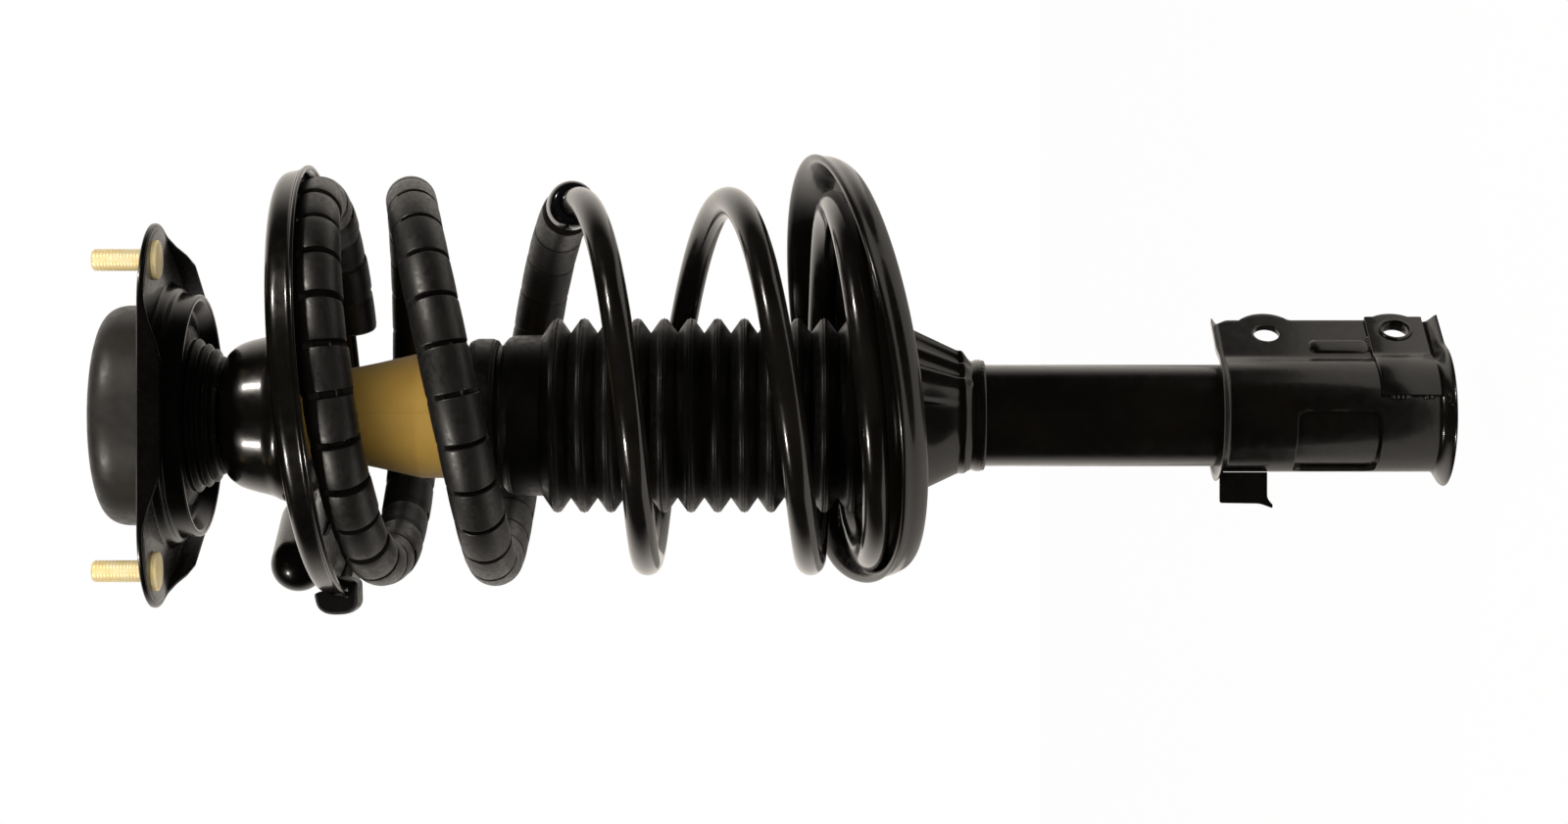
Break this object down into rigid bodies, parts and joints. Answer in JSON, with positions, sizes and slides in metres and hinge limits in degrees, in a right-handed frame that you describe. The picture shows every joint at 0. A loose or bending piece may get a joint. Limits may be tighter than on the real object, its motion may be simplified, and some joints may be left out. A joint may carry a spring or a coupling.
{
  "type": "suspension strut",
  "caption": "Front suspension strut with coil spring, tilted spring seats, studded upper mount with bearing, bump stop, folded boot and clevis knuckle bracket.",
  "frame": {"origin": "centre of the upper mount's stud circle on the seating face of its plate", "axes": "+Z along the strut out of the mount; +X along the ears of the knuckle bracket; knuckle bolts run along Y"},
  "size_m": [0.2156, 0.2052, 0.6198],
  "materials": {
    "satin_black_steel": "satin black paint on pressed steel",
    "can_coat": "satin dark grey coating",
    "zinc_plate": "yellow passivated zinc",
    "moulded_rubber": "matt moulded rubber",
    "bearing_steel": "ground steel",
    "gloss_black_paint": "gloss black paint",
    "spring_coat": "gloss black powder coat",
    "sleeve_plastic": "satin moulded sleeve",
    "ring_plastic": "gloss black ring",
    "rod_chrome": "hard chrome",
    "urethane": "ochre microcellular urethane",
    "boot_rubber": "satin rubber",
    "bush_bronze": "bronze"
  },
  "bodies": {
    "mount": {"mount_plate": "satin_black_steel", "mount_housing": "can_coat", "mount_studs": "zinc_plate", "mount_rubber": "moulded_rubber", "bearing_outer_race": "bearing_steel"},
    "bearing_cage_body": {"bearing_cage": "bearing_steel", "bearing_balls": "bearing_steel"},
    "rod": {"bearing_inner_race": "bearing_steel", "top_washer": "bearing_steel", "top_nut": "zinc_plate", "upper_seat": "gloss_black_paint", "upper_insulator": "moulded_rubber", "coil_spring": "spring_coat", "spring_sleeve": "sleeve_plastic", "sleeve_end_ring": "ring_plastic", "piston_rod": "rod_chrome", "bump_stop": "urethane", "dust_boot": "boot_rubber", "rebound_stop": "satin_black_steel", "piston": "bearing_steel", "piston_band": "moulded_rubber", "piston_nut": "zinc_plate"},
    "damper": {"reserve_tube": "gloss_black_paint", "pressure_tube": "bearing_steel", "rod_guide": "bearing_steel", "guide_bush": "bush_bronze", "rod_seal": "moulded_rubber", "striker_cap": "satin_black_steel", "base_valve": "bearing_steel", "base_cap": "gloss_black_paint", "lower_seat": "gloss_black_paint", "seat_neck": "gloss_black_paint", "knuckle_bracket": "gloss_black_paint", "bracket_strap": "gloss_black_paint", "hose_clip": "gloss_black_paint"}
  },
  "joints": [
    {"name": "steer", "type": "hinge", "parent": "mount", "child": "rod", "pos_m": [0, 0, -0.0135], "axis": [0, 0, 1], "range_deg": [-45, 45]},
    {"name": "cage_turn", "type": "hinge", "parent": "mount", "child": "bearing_cage_body", "pos_m": [0, 0, -0.0135], "axis": [0, 0, 1], "range_deg": [-22.5, 22.5]},
    {"name": "stroke", "type": "slide", "parent": "rod", "child": "damper", "axis": [0, 0, 1], "range_m": [0, 0.13], "stiffness_N_per_m": 25000, "springref_m": -0.06, "deforming": ["coil_spring", "spring_sleeve", "sleeve_end_ring", "bump_stop", "dust_boot"]}
  ],
  "couplings": [
    {"joint": "cage_turn", "follows": "steer", "ratio": 0.5}
  ]
}
